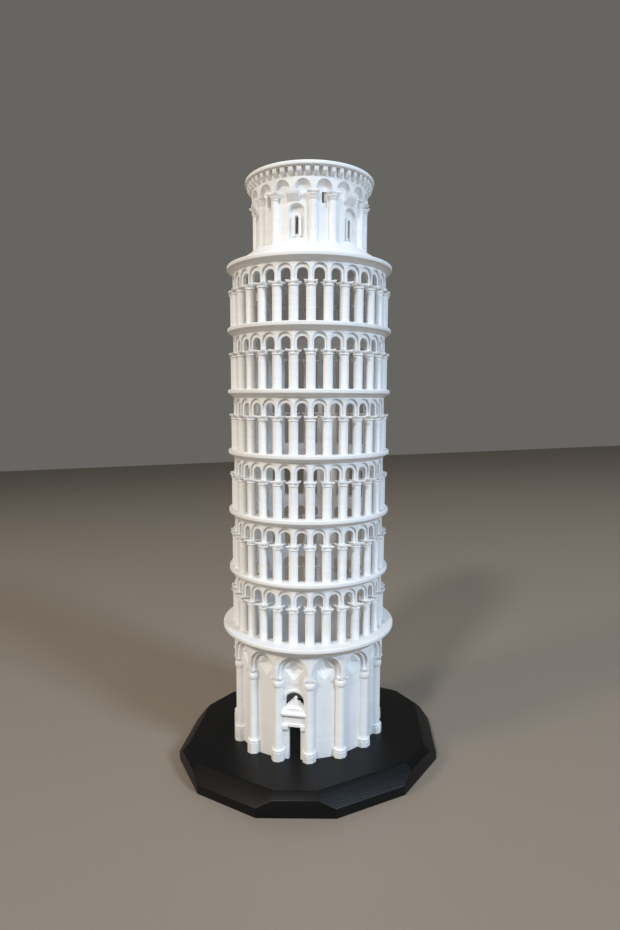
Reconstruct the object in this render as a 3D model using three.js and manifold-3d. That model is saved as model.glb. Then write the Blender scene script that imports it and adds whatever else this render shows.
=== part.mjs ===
// A miniature leaning bell tower on a twelve-sided stand, a desk souvenir.
// Millimetres, +Z up. The origin is the centre of the stand's underside, and the middle of one of
// the stand's short-bevelled sides faces -Y.
//
// The tower is built upright in its own group, with its axis on that group's Z and its foot at
// height 0, and the whole group is then leaned over and set on the stand. Inside the group a
// bearing is an angle in degrees around the axis, from -Y towards +X, and a height is measured
// along the axis from the top face of the stand.

import * as THREE from 'three';
import { mergeVertices } from 'three/addons/utils/BufferGeometryUtils.js';
import Module from 'manifold-3d';

const wasm = await Module();
wasm.setup();

// ---- driving dimensions ----------------------------------------------------------------------

const CLEARANCE = 0.3;              // gap between neighbouring pieces

// stand
const STAND_CORNER_RADIUS = 59;
const STAND_HEIGHT = 9.2;
const LONG_BEVEL = { start: 3.8, inward: 5.75 };
const SHORT_BEVEL = { start: 6.8, inward: 2.6 };

// lean of the tower
const LEAN_DEG = 4.68;
const LEAN_BEARING = 40.8;
const FOOT_X = 0.15;
const FOOT_Y = -1.74;

// storeys
const FIRST_CORNICE = 50.4;         // underside of the lowest cornice's lip
const STOREY = 25.49;               // from one cornice to the next
const CORNICES = 7;
const COLUMN_BEARING = 6;           // one column of every storey stands here
const COLUMN_SIDES = 6;

// cornices
const LIP_HEIGHT = 1.7;
const CORNICE_RADIUS = 35;
const FIRST_CORNICE_RADIUS = 38;
const SOFFIT_DROP = 1.5;
const FIRST_SOFFIT_DROP = 3.6;
const CORNICE_SIDES = 30;

// loggias, the open arcades of the upper storeys
const BAYS = 30;
const LOGGIA_OUTER = 32.4;
const LOGGIA_INNER = 30.2;
const COLUMN_CIRCLE = 31.8;
const COLUMN_RADIUS = 1.9;
const CAPITAL_RADIUS = 2.75;
const CAPITAL_FOOT = 12.95;         // heights above the loggia's floor
const CAPITAL_TOP = 14.85;
const LOGGIA_SPRINGING = 17.95;
const LOGGIA_ARCH_RADIUS = 2.3;

// ground storey
const GROUND_BAYS = 15;
const DRUM_APOTHEM = 30.4;
const DRUM_INNER = 28;
const DRUM_SKIRT = 4;               // extra length below the stand's top, cut off by the lean
const GROUND_ARCADE_RADIUS = 33.2;
const GROUND_COLUMN_CIRCLE = 31.4;
const GROUND_COLUMN_RADIUS = 1.9;
const PLINTH = { radius: 2.75, top: 6.3, shoulder: 7.1 };
const GROUND_CAPITAL = { foot: 33, top: 37.3, radius: 2.8 };
const GROUND_SPRINGING = 40.6;
const GROUND_ARCH_RADIUS = 4.9;
const LOZENGE = { height: 40.3, halfWidth: 4.1, halfHeight: 4.5, depth: 0.8 };

// doorway
const DOOR_BEARING = -5.5;
const DOOR = { width: 5, top: 16.3 };
const LINTEL = { width: 7.9, foot: 16.3, top: 20.2, radius: 31.5 };
const CORBEL = { width: 1.4, foot: 14.2, offset: 3.25, radius: 31.8 };
const LEDGE = { width: 7.9, foot: 20.7, nose: 21.6, brow: 22.2, top: 24.6, radius: 32.6 };
const LUNETTE = { radius: 3.85, foot: 24.5, springing: 27.1 };
const FIGURES = { plinthWidth: 6, plinthDepth: 1.6, foot: 24.8, plinthTop: 25.8, circle: 29.3 };
const FIGURE = { hem: 0.75, shoulders: 0.55, head: 0.35, shoulderDrop: 0.9 };
const FIGURE_TOPS = [[-1.9, 26.7], [0, 28.9], [1.9, 26.9]];      // [distance from the middle, height]

// belfry
const BELFRY_OUTER = 22.6;
const BELFRY_INNER = 20.2;
const BELFRY_FOOT = 210.6;
const BELFRY_ARCADE_RADIUS = 24.4;
const BELFRY_BAYS = 18;
const BELFRY_COLUMN_BEARING = 8.6;
const BELFRY_COLUMN_CIRCLE = 22.5;
const BELFRY_CAPITAL = { foot: 226.9, top: 229.9, radius: 2.5 };
const BELFRY_SPRINGING = 230.8;
const BELFRY_ARCH_RADIUS = 3.2;
const BELFRY_TOP = 234.6;
const STEP = { radius: 28, edge: 208.4, neck: 24.9, top: 210.3 };
const NICHES = 6;
const NICHE = { bearing: -8.6, radius: 3.3, foot: 212.4, springing: 222.3, depth: 0.9 };
const SLIT = { width: 1.5, foot: 214.5, top: 220.8 };
const PIER_CORBEL = { width: 5.2, foot: 226.1, knee: 229, top: 230.3 };
const LOOPHOLE = { bearing: 18.6, width: 1.3, foot: 224.8, top: 230.8 };
const DOORSTEP = { width: 6, top: 212.3 };

// crown of the belfry
const BRACKETS = 48;
const BRACKET = { bearing: 3.2, width: 1.75, radius: 26.2, foot: 234.9, knee: 236.3 };
const RIM = { radius: 27, foot: 238.3, top: 240 };
const DECK = { foot: 236.2, top: 237.8 };

// how far a cutting shape runs past what it cuts
const OVERCUT = 1;

// ---- materials -------------------------------------------------------------------------------

const WHITE_PRINT = { color: 0xe9e9e6, roughness: 0.62, metalness: 0 };
const BLACK_PRINT = { color: 0x0c0c0d, roughness: 0.42, metalness: 0 };

// ---- helpers ---------------------------------------------------------------------------------

const radians = THREE.MathUtils.degToRad;

function solid(geometry) {
  const bare = geometry.index ? geometry.toNonIndexed() : geometry.clone();
  bare.deleteAttribute('normal');
  bare.deleteAttribute('uv');
  const merged = mergeVertices(bare, 1e-4);
  const vertProperties = new Float32Array(merged.attributes.position.array);
  const triVerts = new Uint32Array(merged.index.array);
  return new wasm.Manifold(new wasm.Mesh({ numProp: 3, vertProperties, triVerts }));
}

function geometryOf(body) {
  const { vertProperties, triVerts } = body.getMesh();
  const geometry = new THREE.BufferGeometry();
  geometry.setAttribute('position', new THREE.BufferAttribute(vertProperties, 3));
  geometry.setIndex(new THREE.BufferAttribute(triVerts, 1));
  geometry.computeVertexNormals();
  return geometry;
}

function joined(bodies) {
  return bodies.reduce((whole, body) => whole.add(body));
}

function addPiece(group, name, body, material) {
  const mesh = new THREE.Mesh(geometryOf(body), new THREE.MeshStandardMaterial(material));
  mesh.name = name;
  group.add(mesh);
}

function turned(geometry, bearing) {
  return geometry.clone().rotateZ(radians(bearing));
}

// the same piece once per bearing, as a list of solids
function around(geometry, bearings) {
  return bearings.map((bearing) => solid(turned(geometry, bearing)));
}

function evenBearings(first, count) {
  return Array.from({ length: count }, (_, i) => first + (i * 360) / count);
}

// a ring or disc about the axis from a closed outline of [radius, height] points,
// listed counter-clockwise with the radius to the right; its corners start at a bearing
function ring(outline, sides, firstCorner = 0) {
  const points = [...outline, outline[0]].map(([r, z]) => new THREE.Vector2(r, z));
  const geometry = new THREE.LatheGeometry(points, sides, radians(firstCorner));
  return solid(geometry.rotateX(Math.PI / 2));
}

function cornerRadius(apothem, sides) {
  return apothem / Math.cos(Math.PI / sides);
}

// a prism with the given front outline (x across, y up) between two radii, facing bearing 0
function outwardPrism(shape, fromRadius, toRadius, curveSegments = 2) {
  const depth = toRadius - fromRadius;
  const geometry = new THREE.ExtrudeGeometry(shape, { depth, bevelEnabled: false, curveSegments });
  return geometry.translate(0, 0, fromRadius).rotateX(Math.PI / 2);
}

function archShape(radius, foot, springing) {
  const shape = new THREE.Shape();
  shape.moveTo(-radius, foot);
  shape.lineTo(radius, foot);
  shape.lineTo(radius, springing);
  shape.absarc(0, springing, radius, 0, Math.PI);
  return shape;
}

function diamondShape(centre, halfWidth, halfHeight) {
  const shape = new THREE.Shape();
  shape.moveTo(0, centre - halfHeight);
  shape.lineTo(halfWidth, centre);
  shape.lineTo(0, centre + halfHeight);
  shape.lineTo(-halfWidth, centre);
  return shape;
}

// a box between two radii, facing bearing 0
function block(width, foot, top, fromRadius, toRadius, offset = 0) {
  const geometry = new THREE.BoxGeometry(width, toRadius - fromRadius, top - foot);
  return geometry.translate(offset, -(fromRadius + toRadius) / 2, (foot + top) / 2);
}

// a block with the given side outline of [radius, height] points, facing bearing 0
function sideProfile(outline, width) {
  const shape = new THREE.Shape(outline.map(([r, z]) => new THREE.Vector2(r, z)));
  const geometry = new THREE.ExtrudeGeometry(shape, { depth: width, bevelEnabled: false });
  return geometry.translate(0, 0, -width / 2).rotateX(Math.PI / 2).rotateZ(-Math.PI / 2);
}

// a disc about the axis
function plug(radius, foot, top, sides, firstCorner = 0) {
  return ring([[0, foot], [radius, foot], [radius, top], [0, top]], sides, firstCorner);
}

// a column of few sides from a list of [radius, height] points, on a circle at bearing 0
function column(outline, circle) {
  const points = outline.map(([r, z]) => new THREE.Vector2(r, z));
  const ends = [new THREE.Vector2(0, outline[0][1]), new THREE.Vector2(0, outline.at(-1)[1])];
  const profile = [ends[0], ...points, ends[1]];
  const geometry = new THREE.LatheGeometry(profile, COLUMN_SIDES, Math.PI / COLUMN_SIDES);
  return geometry.rotateX(Math.PI / 2).translate(0, -circle, 0);
}

// ---- the leaning group -----------------------------------------------------------------------

const tower = new THREE.Group();
tower.position.set(FOOT_X, FOOT_Y, STAND_HEIGHT);
const up = new THREE.Vector3(0, 0, 1);
const hinge = new THREE.Vector3(1, 0, 0).applyAxisAngle(up, radians(LEAN_BEARING));
tower.quaternion.setFromAxisAngle(hinge, radians(LEAN_DEG));
tower.updateMatrixWorld(true);

// everything below the stand's top face, as seen from inside the leaning group
function belowStandTop() {
  const size = 4 * STAND_CORNER_RADIUS;
  const slab = new THREE.BoxGeometry(size, size, size);
  slab.translate(0, 0, STAND_HEIGHT + CLEARANCE - size / 2);
  return solid(slab.applyMatrix4(tower.matrixWorld.clone().invert()));
}

// ---- stand -----------------------------------------------------------------------------------

const STAND_SIDES = 12;
const SIDE_ANGLE = (2 * Math.PI) / STAND_SIDES;

// The corner where a short-bevelled side meets the long-bevelled side before or after it, given
// each side's distance from the centre. Short-bevelled sides face every other side's bearing.
function standCorner(index, shortApothem, longApothem) {
  const bearing = 2 * SIDE_ANGLE * Math.floor(index / 2);
  const turn = index % 2 === 0 ? -1 : 1;
  const halfSide = (longApothem - shortApothem * Math.cos(SIDE_ANGLE)) / Math.sin(SIDE_ANGLE);
  const x = shortApothem * Math.sin(bearing) + turn * halfSide * Math.cos(bearing);
  const y = -shortApothem * Math.cos(bearing) + turn * halfSide * Math.sin(bearing);
  return [x, y];
}

function displayBase() {
  const apothem = STAND_CORNER_RADIUS * Math.cos(SIDE_ANGLE / 2);
  const inset = (bevel, z) =>
    (bevel.inward * Math.max(0, z - bevel.start)) / (STAND_HEIGHT - bevel.start);
  const positions = [];
  const levels = [0, LONG_BEVEL.start, SHORT_BEVEL.start, STAND_HEIGHT];
  for (const z of levels) {
    const short = apothem - inset(SHORT_BEVEL, z);
    const long = apothem - inset(LONG_BEVEL, z);
    for (let i = 0; i < STAND_SIDES; i += 1) {
      positions.push(...standCorner(i, short, long), z);
    }
  }
  const index = [];
  const last = (levels.length - 1) * STAND_SIDES;
  for (let level = 0; level < last; level += STAND_SIDES) {
    for (let i = 0; i < STAND_SIDES; i += 1) {
      const a = level + i;
      const b = level + ((i + 1) % STAND_SIDES);
      index.push(a, b, b + STAND_SIDES, a, b + STAND_SIDES, a + STAND_SIDES);
    }
  }
  for (let i = 1; i < STAND_SIDES - 1; i += 1) {
    index.push(0, i + 1, i);
    index.push(last, last + i, last + i + 1);
  }
  const geometry = new THREE.BufferGeometry();
  geometry.setAttribute('position', new THREE.Float32BufferAttribute(positions, 3));
  geometry.setIndex(index);
  return solid(geometry);
}

// ---- cornices --------------------------------------------------------------------------------

function corniceFoot(number) {
  return FIRST_CORNICE + (number - 1) * STOREY;
}

function cornice(number) {
  const z = corniceFoot(number);
  const first = number === 1;
  const last = number === CORNICES;
  const radius = first ? FIRST_CORNICE_RADIUS : CORNICE_RADIUS;
  const drop = first ? FIRST_SOFFIT_DROP : SOFFIT_DROP;
  const wall = first ? GROUND_ARCADE_RADIUS + CLEARANCE : LOGGIA_OUTER + CLEARANCE;
  const inner = LOGGIA_INNER - CLEARANCE;
  const outline = [
    [inner, z - drop],
    [wall, z - drop],
    [radius, z],
    [radius, z + LIP_HEIGHT],
  ];
  if (last) {
    outline.push([BELFRY_INNER, z + LIP_HEIGHT], [BELFRY_INNER, z], [inner, z]);
  } else {
    outline.push([inner, z + LIP_HEIGHT]);
  }
  return ring(outline, CORNICE_SIDES);
}

// ---- loggias ---------------------------------------------------------------------------------

function loggia(number) {
  const floor = corniceFoot(number - 1) + LIP_HEIGHT + CLEARANCE;
  const top = corniceFoot(number) - SOFFIT_DROP - CLEARANCE;
  const foot = floor + CAPITAL_TOP - CLEARANCE;
  const inner = cornerRadius(LOGGIA_INNER, BAYS);
  const outer = cornerRadius(LOGGIA_OUTER, BAYS);
  const outline = [[inner, foot], [outer, foot], [outer, top], [inner, top]];
  const wall = ring(outline, BAYS, COLUMN_BEARING);
  const springing = floor + LOGGIA_SPRINGING - CLEARANCE;
  const opening = outwardPrism(
    archShape(LOGGIA_ARCH_RADIUS, foot - OVERCUT, springing),
    LOGGIA_INNER - OVERCUT, LOGGIA_OUTER + OVERCUT,
  );
  const shaft = column([
    [COLUMN_RADIUS, floor],
    [COLUMN_RADIUS, floor + CAPITAL_FOOT - CLEARANCE],
    [CAPITAL_RADIUS, foot],
  ], COLUMN_CIRCLE);
  const openings = joined(around(opening, evenBearings(COLUMN_BEARING + 180 / BAYS, BAYS)));
  return joined([wall.subtract(openings), ...around(shaft, evenBearings(COLUMN_BEARING, BAYS))]);
}

// ---- ground storey ---------------------------------------------------------------------------

const GROUND_TOP = FIRST_CORNICE - FIRST_SOFFIT_DROP - CLEARANCE;
const GROUND_BAY_BEARINGS = evenBearings(COLUMN_BEARING - 180 / GROUND_BAYS, GROUND_BAYS);

const LUNETTE_STEPS = 4;            // straight steps in each quarter of a curved edge
const ARCH_STEPS = 3;

function groundStorey() {
  const outer = cornerRadius(DRUM_APOTHEM, GROUND_BAYS);
  const drum = ring([
    [DRUM_INNER, -DRUM_SKIRT],
    [outer, -DRUM_SKIRT],
    [outer, GROUND_TOP],
    [DRUM_INNER, GROUND_TOP],
  ], GROUND_BAYS, COLUMN_BEARING);
  const through = [DRUM_INNER - 2 * OVERCUT, DRUM_APOTHEM + OVERCUT];
  const lozenge = outwardPrism(
    diamondShape(LOZENGE.height, LOZENGE.halfWidth, LOZENGE.halfHeight),
    DRUM_APOTHEM - LOZENGE.depth, DRUM_APOTHEM + OVERCUT,
  );
  const doorway = block(DOOR.width, -DRUM_SKIRT - OVERCUT, DOOR.top, ...through);
  const arch = archShape(LUNETTE.radius, LUNETTE.foot, LUNETTE.springing);
  const lunette = outwardPrism(arch, ...through, LUNETTE_STEPS);
  const cuts = [
    ...around(lozenge, GROUND_BAY_BEARINGS),
    ...around(doorway, [DOOR_BEARING]),
    ...around(lunette, [DOOR_BEARING]),
    belowStandTop(),
  ];
  return cuts.reduce((body, cut) => body.subtract(cut), drum);
}

function groundArcade() {
  const core = cornerRadius(DRUM_APOTHEM + CLEARANCE, GROUND_BAYS);
  const foot = GROUND_CAPITAL.top;
  const wall = ring([
    [DRUM_INNER, foot],
    [GROUND_ARCADE_RADIUS, foot],
    [GROUND_ARCADE_RADIUS, GROUND_TOP],
    [DRUM_INNER, GROUND_TOP],
  ], 2 * GROUND_BAYS, COLUMN_BEARING);
  const opening = outwardPrism(
    archShape(GROUND_ARCH_RADIUS, foot - OVERCUT, GROUND_SPRINGING),
    DRUM_INNER - OVERCUT, GROUND_ARCADE_RADIUS + OVERCUT, ARCH_STEPS,
  );
  const shaft = column([
    [PLINTH.radius, -DRUM_SKIRT],
    [PLINTH.radius, PLINTH.top],
    [GROUND_COLUMN_RADIUS, PLINTH.shoulder],
    [GROUND_COLUMN_RADIUS, GROUND_CAPITAL.foot],
    [GROUND_CAPITAL.radius, GROUND_CAPITAL.top],
  ], GROUND_COLUMN_CIRCLE);
  const openings = joined(around(opening, GROUND_BAY_BEARINGS));
  const columns = around(shaft, evenBearings(COLUMN_BEARING, GROUND_BAYS));
  const drumPlug = plug(core, -2 * DRUM_SKIRT, FIRST_CORNICE, GROUND_BAYS, COLUMN_BEARING);
  return joined([wall.subtract(openings), ...columns]).subtract(drumPlug).subtract(belowStandTop());
}

const DOOR_GROUP_BACK = DRUM_APOTHEM + CLEARANCE;

function facingDoor(geometries) {
  return joined(geometries.flatMap((geometry) => around(geometry, [DOOR_BEARING])));
}

function doorLintel() {
  const beam = block(LINTEL.width, LINTEL.foot, LINTEL.top, DOOR_GROUP_BACK, LINTEL.radius);
  const corbel = block(CORBEL.width, CORBEL.foot, LINTEL.top, DOOR_GROUP_BACK, CORBEL.radius);
  const corbels = [-CORBEL.offset, CORBEL.offset].map((x) => corbel.clone().translate(x, 0, 0));
  return facingDoor([beam, ...corbels]);
}

function doorLedge() {
  return facingDoor([sideProfile([
    [DOOR_GROUP_BACK, LEDGE.foot],
    [LEDGE.radius, LEDGE.nose],
    [LEDGE.radius, LEDGE.brow],
    [DOOR_GROUP_BACK, LEDGE.top],
  ], LEDGE.width)]);
}

function doorFigures() {
  const near = FIGURES.circle - FIGURES.plinthDepth / 2;
  const far = FIGURES.circle + FIGURES.plinthDepth / 2;
  const plinth = block(FIGURES.plinthWidth, FIGURES.foot, FIGURES.plinthTop, near, far);
  const figures = FIGURE_TOPS.map(([x, top]) => column([
    [FIGURE.hem, FIGURES.foot],
    [FIGURE.shoulders, top - FIGURE.shoulderDrop],
    [FIGURE.head, top],
  ], FIGURES.circle).translate(x, 0, 0));
  return facingDoor([plinth, ...figures]);
}

// ---- belfry ----------------------------------------------------------------------------------

const NICHE_BEARINGS = evenBearings(NICHE.bearing, NICHES);
const BELFRY_BAY_BEARINGS = evenBearings(BELFRY_COLUMN_BEARING + 180 / BELFRY_BAYS, BELFRY_BAYS);
const BAYS_PER_NICHE = BELFRY_BAYS / NICHES;

function belfryStep() {
  const foot = corniceFoot(CORNICES) + LIP_HEIGHT + CLEARANCE;
  const body = ring([
    [BELFRY_INNER, foot],
    [STEP.radius, foot],
    [STEP.radius, STEP.edge],
    [STEP.neck, STEP.top],
    [BELFRY_INNER, STEP.top],
  ], CORNICE_SIDES);
  const back = BELFRY_OUTER + CLEARANCE;
  const doorstep = sideProfile([
    [back, STEP.edge],
    [STEP.neck, STEP.edge],
    [STEP.neck, STEP.top],
    [back, DOORSTEP.top],
  ], DOORSTEP.width);
  return joined([body, ...around(doorstep, NICHE_BEARINGS)]);
}

function belfryWall() {
  const wall = ring([
    [BELFRY_INNER, BELFRY_FOOT],
    [BELFRY_OUTER, BELFRY_FOOT],
    [BELFRY_OUTER, BELFRY_TOP],
    [BELFRY_INNER, BELFRY_TOP],
  ], BELFRY_BAYS, BELFRY_COLUMN_BEARING);
  const outside = BELFRY_OUTER + OVERCUT;
  const through = [BELFRY_INNER - 2 * OVERCUT, outside];
  const arch = archShape(NICHE.radius, NICHE.foot, NICHE.springing);
  const niche = outwardPrism(arch, BELFRY_OUTER - NICHE.depth, outside, ARCH_STEPS);
  const slit = block(SLIT.width, SLIT.foot, SLIT.top, ...through);
  const loophole = block(LOOPHOLE.width, LOOPHOLE.foot, LOOPHOLE.top, ...through);
  const cuts = [
    ...around(niche, NICHE_BEARINGS),
    ...around(slit, NICHE_BEARINGS),
    ...around(loophole, evenBearings(LOOPHOLE.bearing, NICHES)),
  ];
  return cuts.reduce((body, cut) => body.subtract(cut), wall);
}

// a column stands between every two bays, except above each niche, where a corbel takes its place
function belfryArcade() {
  const inner = BELFRY_OUTER + CLEARANCE;
  const foot = BELFRY_CAPITAL.top;
  const wall = ring([
    [inner, foot],
    [BELFRY_ARCADE_RADIUS, foot],
    [BELFRY_ARCADE_RADIUS, BELFRY_TOP],
    [inner, BELFRY_TOP],
  ], BELFRY_BAYS, BELFRY_COLUMN_BEARING);
  const opening = outwardPrism(
    archShape(BELFRY_ARCH_RADIUS, foot - OVERCUT, BELFRY_SPRINGING),
    BELFRY_INNER, BELFRY_ARCADE_RADIUS + OVERCUT, ARCH_STEPS,
  );
  const openings = joined(around(opening, BELFRY_BAY_BEARINGS));
  const shaft = column([
    [COLUMN_RADIUS, BELFRY_FOOT],
    [COLUMN_RADIUS, BELFRY_CAPITAL.foot],
    [BELFRY_CAPITAL.radius, BELFRY_CAPITAL.top],
  ], BELFRY_COLUMN_CIRCLE);
  const corbel = sideProfile([
    [BELFRY_OUTER, PIER_CORBEL.foot],
    [BELFRY_ARCADE_RADIUS, PIER_CORBEL.knee],
    [BELFRY_ARCADE_RADIUS, PIER_CORBEL.top],
    [BELFRY_OUTER, PIER_CORBEL.top],
  ], PIER_CORBEL.width);
  const piers = evenBearings(BELFRY_COLUMN_BEARING, BELFRY_BAYS);
  const isOverNiche = (bearing) => piers.indexOf(bearing) % BAYS_PER_NICHE === BAYS_PER_NICHE - 1;
  const wallPlug = plug(
    inner, BELFRY_FOOT - OVERCUT, BELFRY_TOP + OVERCUT, BELFRY_BAYS, BELFRY_COLUMN_BEARING,
  );
  return joined([
    wall.subtract(openings),
    ...around(shaft, piers.filter((bearing) => !isOverNiche(bearing))),
    ...around(corbel, piers.filter(isOverNiche)),
  ]).subtract(wallPlug);
}

function corbelRing() {
  const foot = BELFRY_TOP + CLEARANCE;
  const top = RIM.foot - CLEARANCE;
  const band = ring([
    [BELFRY_INNER, foot],
    [BELFRY_ARCADE_RADIUS, foot],
    [BELFRY_ARCADE_RADIUS, top],
    [BELFRY_INNER, top],
  ], BRACKETS, 180 / BRACKETS);
  const rooted = BELFRY_ARCADE_RADIUS - OVERCUT / 2;
  const bracket = sideProfile([
    [rooted, BRACKET.foot],
    [BRACKET.radius, BRACKET.knee],
    [BRACKET.radius, top],
    [rooted, top],
  ], BRACKET.width);
  return joined([band, ...around(bracket, evenBearings(BRACKET.bearing, BRACKETS))]);
}

function belfryRim() {
  return ring([
    [BELFRY_INNER, RIM.foot],
    [RIM.radius, RIM.foot],
    [RIM.radius, RIM.top],
    [BELFRY_INNER, RIM.top],
  ], CORNICE_SIDES);
}

function roofDeck() {
  return plug(BELFRY_INNER - CLEARANCE, DECK.foot, DECK.top, CORNICE_SIDES);
}

// ---- assembly --------------------------------------------------------------------------------

addPiece(tower, 'ground_storey', groundStorey(), WHITE_PRINT);
addPiece(tower, 'ground_arcade', groundArcade(), WHITE_PRINT);
addPiece(tower, 'door_lintel', doorLintel(), WHITE_PRINT);
addPiece(tower, 'door_ledge', doorLedge(), WHITE_PRINT);
addPiece(tower, 'door_figures', doorFigures(), WHITE_PRINT);
for (let number = 1; number <= CORNICES; number += 1) {
  addPiece(tower, `cornice_${number}`, cornice(number), WHITE_PRINT);
}
for (let number = 2; number <= CORNICES; number += 1) {
  addPiece(tower, `loggia_${number}`, loggia(number), WHITE_PRINT);
}
addPiece(tower, 'belfry_step', belfryStep(), WHITE_PRINT);
addPiece(tower, 'belfry_wall', belfryWall(), WHITE_PRINT);
addPiece(tower, 'belfry_arcade', belfryArcade(), WHITE_PRINT);
addPiece(tower, 'corbel_ring', corbelRing(), WHITE_PRINT);
addPiece(tower, 'belfry_rim', belfryRim(), WHITE_PRINT);
addPiece(tower, 'roof_deck', roofDeck(), WHITE_PRINT);

const souvenir = new THREE.Group();
addPiece(souvenir, 'display_base', displayBase(), BLACK_PRINT);
souvenir.add(tower);

export default souvenir;
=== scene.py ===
import math

import bmesh
import bpy
from mathutils import Matrix, Vector


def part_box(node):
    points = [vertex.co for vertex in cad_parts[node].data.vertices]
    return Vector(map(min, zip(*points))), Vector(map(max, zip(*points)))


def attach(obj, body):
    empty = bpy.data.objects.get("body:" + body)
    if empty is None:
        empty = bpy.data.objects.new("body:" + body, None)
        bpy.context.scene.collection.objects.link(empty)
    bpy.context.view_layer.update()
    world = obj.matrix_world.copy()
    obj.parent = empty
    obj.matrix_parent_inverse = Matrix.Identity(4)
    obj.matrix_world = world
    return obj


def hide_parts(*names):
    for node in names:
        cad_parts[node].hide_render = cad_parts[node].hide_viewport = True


# Looks of a miniature leaning bell tower on a twelve-sided stand.
# Shapes are drawn in millimetres in the tower's own upright frame: the axis is Z, height 0 is
# where the axis meets the stand's top face, and a bearing is in degrees from -Y towards +X.
# piece() then leans each shape onto the CAD's axis and turns it into metres.

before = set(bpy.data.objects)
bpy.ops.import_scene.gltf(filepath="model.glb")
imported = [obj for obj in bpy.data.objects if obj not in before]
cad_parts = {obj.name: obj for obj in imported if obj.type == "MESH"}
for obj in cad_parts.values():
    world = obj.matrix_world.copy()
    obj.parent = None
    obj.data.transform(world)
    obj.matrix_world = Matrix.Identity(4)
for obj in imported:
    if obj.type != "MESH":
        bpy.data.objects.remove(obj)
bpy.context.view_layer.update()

MM = 0.001

# ---- the tower's axis, from the CAD's cornices ------------------------------------------------


def centre(node):
    low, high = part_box(node)
    return (low + high) / 2 / MM


FIRST_CORNICE = 50.4
CORNICES = 7
LIP_HEIGHT = 1.7

lowest, highest = centre("cornice_2"), centre("cornice_6")      # four storeys apart
AXIS = (highest - lowest).normalized()
STOREY = (highest - lowest).length / 4
STAND_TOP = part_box("display_base")[1].z / MM
lip_middle = FIRST_CORNICE + STOREY + LIP_HEIGHT / 2
FOOT = Vector((lowest.x, lowest.y, 0)) - lip_middle * Vector((AXIS.x, AXIS.y, 0))
FOOT.z = STAND_TOP
LEAN = Matrix.Translation(FOOT) @ Vector((0, 0, 1)).rotation_difference(AXIS).to_matrix().to_4x4()
TO_METRES = Matrix.Scale(MM, 4)

# ---- dimensions -------------------------------------------------------------------------------

BURIED = -3.2                       # the ground storey reaches this far into the stand

# cornices
CORNICE_RADIUS = 35
FIRST_CORNICE_RADIUS = 38
SOFFIT_DROP = 1.5
FIRST_SOFFIT_DROP = 3.6
CORNICE_INNER = 29.9
RING_SIDES = 180

# loggias
BAYS = 30
COLUMN_BEARING = 6
LOGGIA = dict(
    front=32.4, step=31.55, back=30.2, wide=3.05, narrow=2.12, springing=17.95, rise=0.75)
COLUMN_CIRCLE = 31.8
COLUMN_RADIUS = 1.86
COLUMN_SIDES = 24
CAPITAL_FOOT = 12.95
CAPITAL_TOP = 14.85
CAPITAL_PARTS = ((0.7, 0.34), (0.35, 0.2), (0.2, 0.3))      # see capital_profile
ABACUS = dict(half=2.7, slab=0.9, lift=0.3)

# ground storey
GROUND_BAYS = 15
DRUM_APOTHEM = 30.4
DRUM_INNER = 28
GROUND = dict(front=33.2, step=32.0, back=30.3, wide=6.15, narrow=4.95, springing=40.6, rise=0)
GROUND_COLUMN_CIRCLE = 31.4
GROUND_COLUMN_RADIUS = 1.95
GROUND_CAPITAL_FOOT = 33
GROUND_CAPITAL_TOP = 37.3
GROUND_CAPITAL_PARTS = ((2.9, 0.5), (0.2, 0.1), (0.3, 0.35))
GROUND_ABACUS = dict(half=2.6, slab=1.0, lift=0.3)
PLINTH_TOP = 6.3
PLINTH_RADIUS = 2.95
PLINTH_SIDES = 8
LOZENGE = dict(height=40.3, across=4.1, up=4.5, depth=1.7, core=0.28)

# doorway
DOOR_BEARING = -5.5
DOOR = dict(width=5, top=16.3)
DOOR_GROUP_BACK = DRUM_APOTHEM - 0.2
LINTEL_WIDTH = 10.2
DOOR_CORBEL = dict(width=2.6, apart=3.95)
SHELF_WIDTH = 10.4
SILL_WIDTH = 7.4
LUNETTE = dict(radius=3.85, foot=24.5, springing=27.1)
LUNETTE_BANDS = ((0, 0.7, 0.4), (0.45, 0.95, 0.65))     # inner and outer edge, how far proud
FIGURES_FOOT = 24.4
FIGURES = (                         # place across, top, radius at the foot
    (-2.75, 25.9, 0.55), (-1.95, 26.6, 0.65), (-1.1, 27.4, 0.75), (-0.1, 28.4, 0.8),
    (0.45, 28.95, 0.85), (1.25, 27.2, 0.7), (2.05, 26.95, 0.65), (2.8, 26.0, 0.55))
RELIEF_COUNT = 9
RELIEF_WIDTH = 8.4
RELIEF_FOOT = 22.7

# belfry
BELFRY_WALL = 22.6
BELFRY_INNER = 20.2
BELFRY_FOOT = 210.1
BELFRY_FACE = 24.4
BELFRY_BAYS = 18
BELFRY_COLUMN_BEARING = 8.6
BELFRY_COLUMN_CIRCLE = 22.5
BELFRY_COLUMN_RADIUS = 1.85
BELFRY_CAPITAL_FOOT = 226.9
BELFRY_CAPITAL_TOP = 229.9
BELFRY_CAPITAL_PARTS = ((0.5, 0.3), (1.1, 0.6), (0.25, 0.5))
BELFRY_ABACUS = dict(half=2.85, slab=1.05, lift=0.35)
BELFRY_TOP = 234.9
BELFRY_SIDES = 144
STEP_TOP = 210.3
ARCHES_FOOT = 229.8
BELFRY_ARCH = dict(radius=3.25, springing=230.8, horn=230.5, rise=1.4)
NICHES = 6
NICHE_BEARING = -8.6
NICHE = dict(radius=3.35, foot=212.4, springing=222.3, pivot=218)
NICHE_FRAME = dict(
    inner=0.78, outer=1.85, foot=213.4, springing=220.4, near=20.7, far=21.75, steps=16)
SLIT = dict(radius=0.75, foot=214.5, springing=220.05)
LOOPHOLE_BEARING = 18.6
LOOPHOLE = dict(left=-0.65, right=0.65, foot=225.6, top=232.2)
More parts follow.
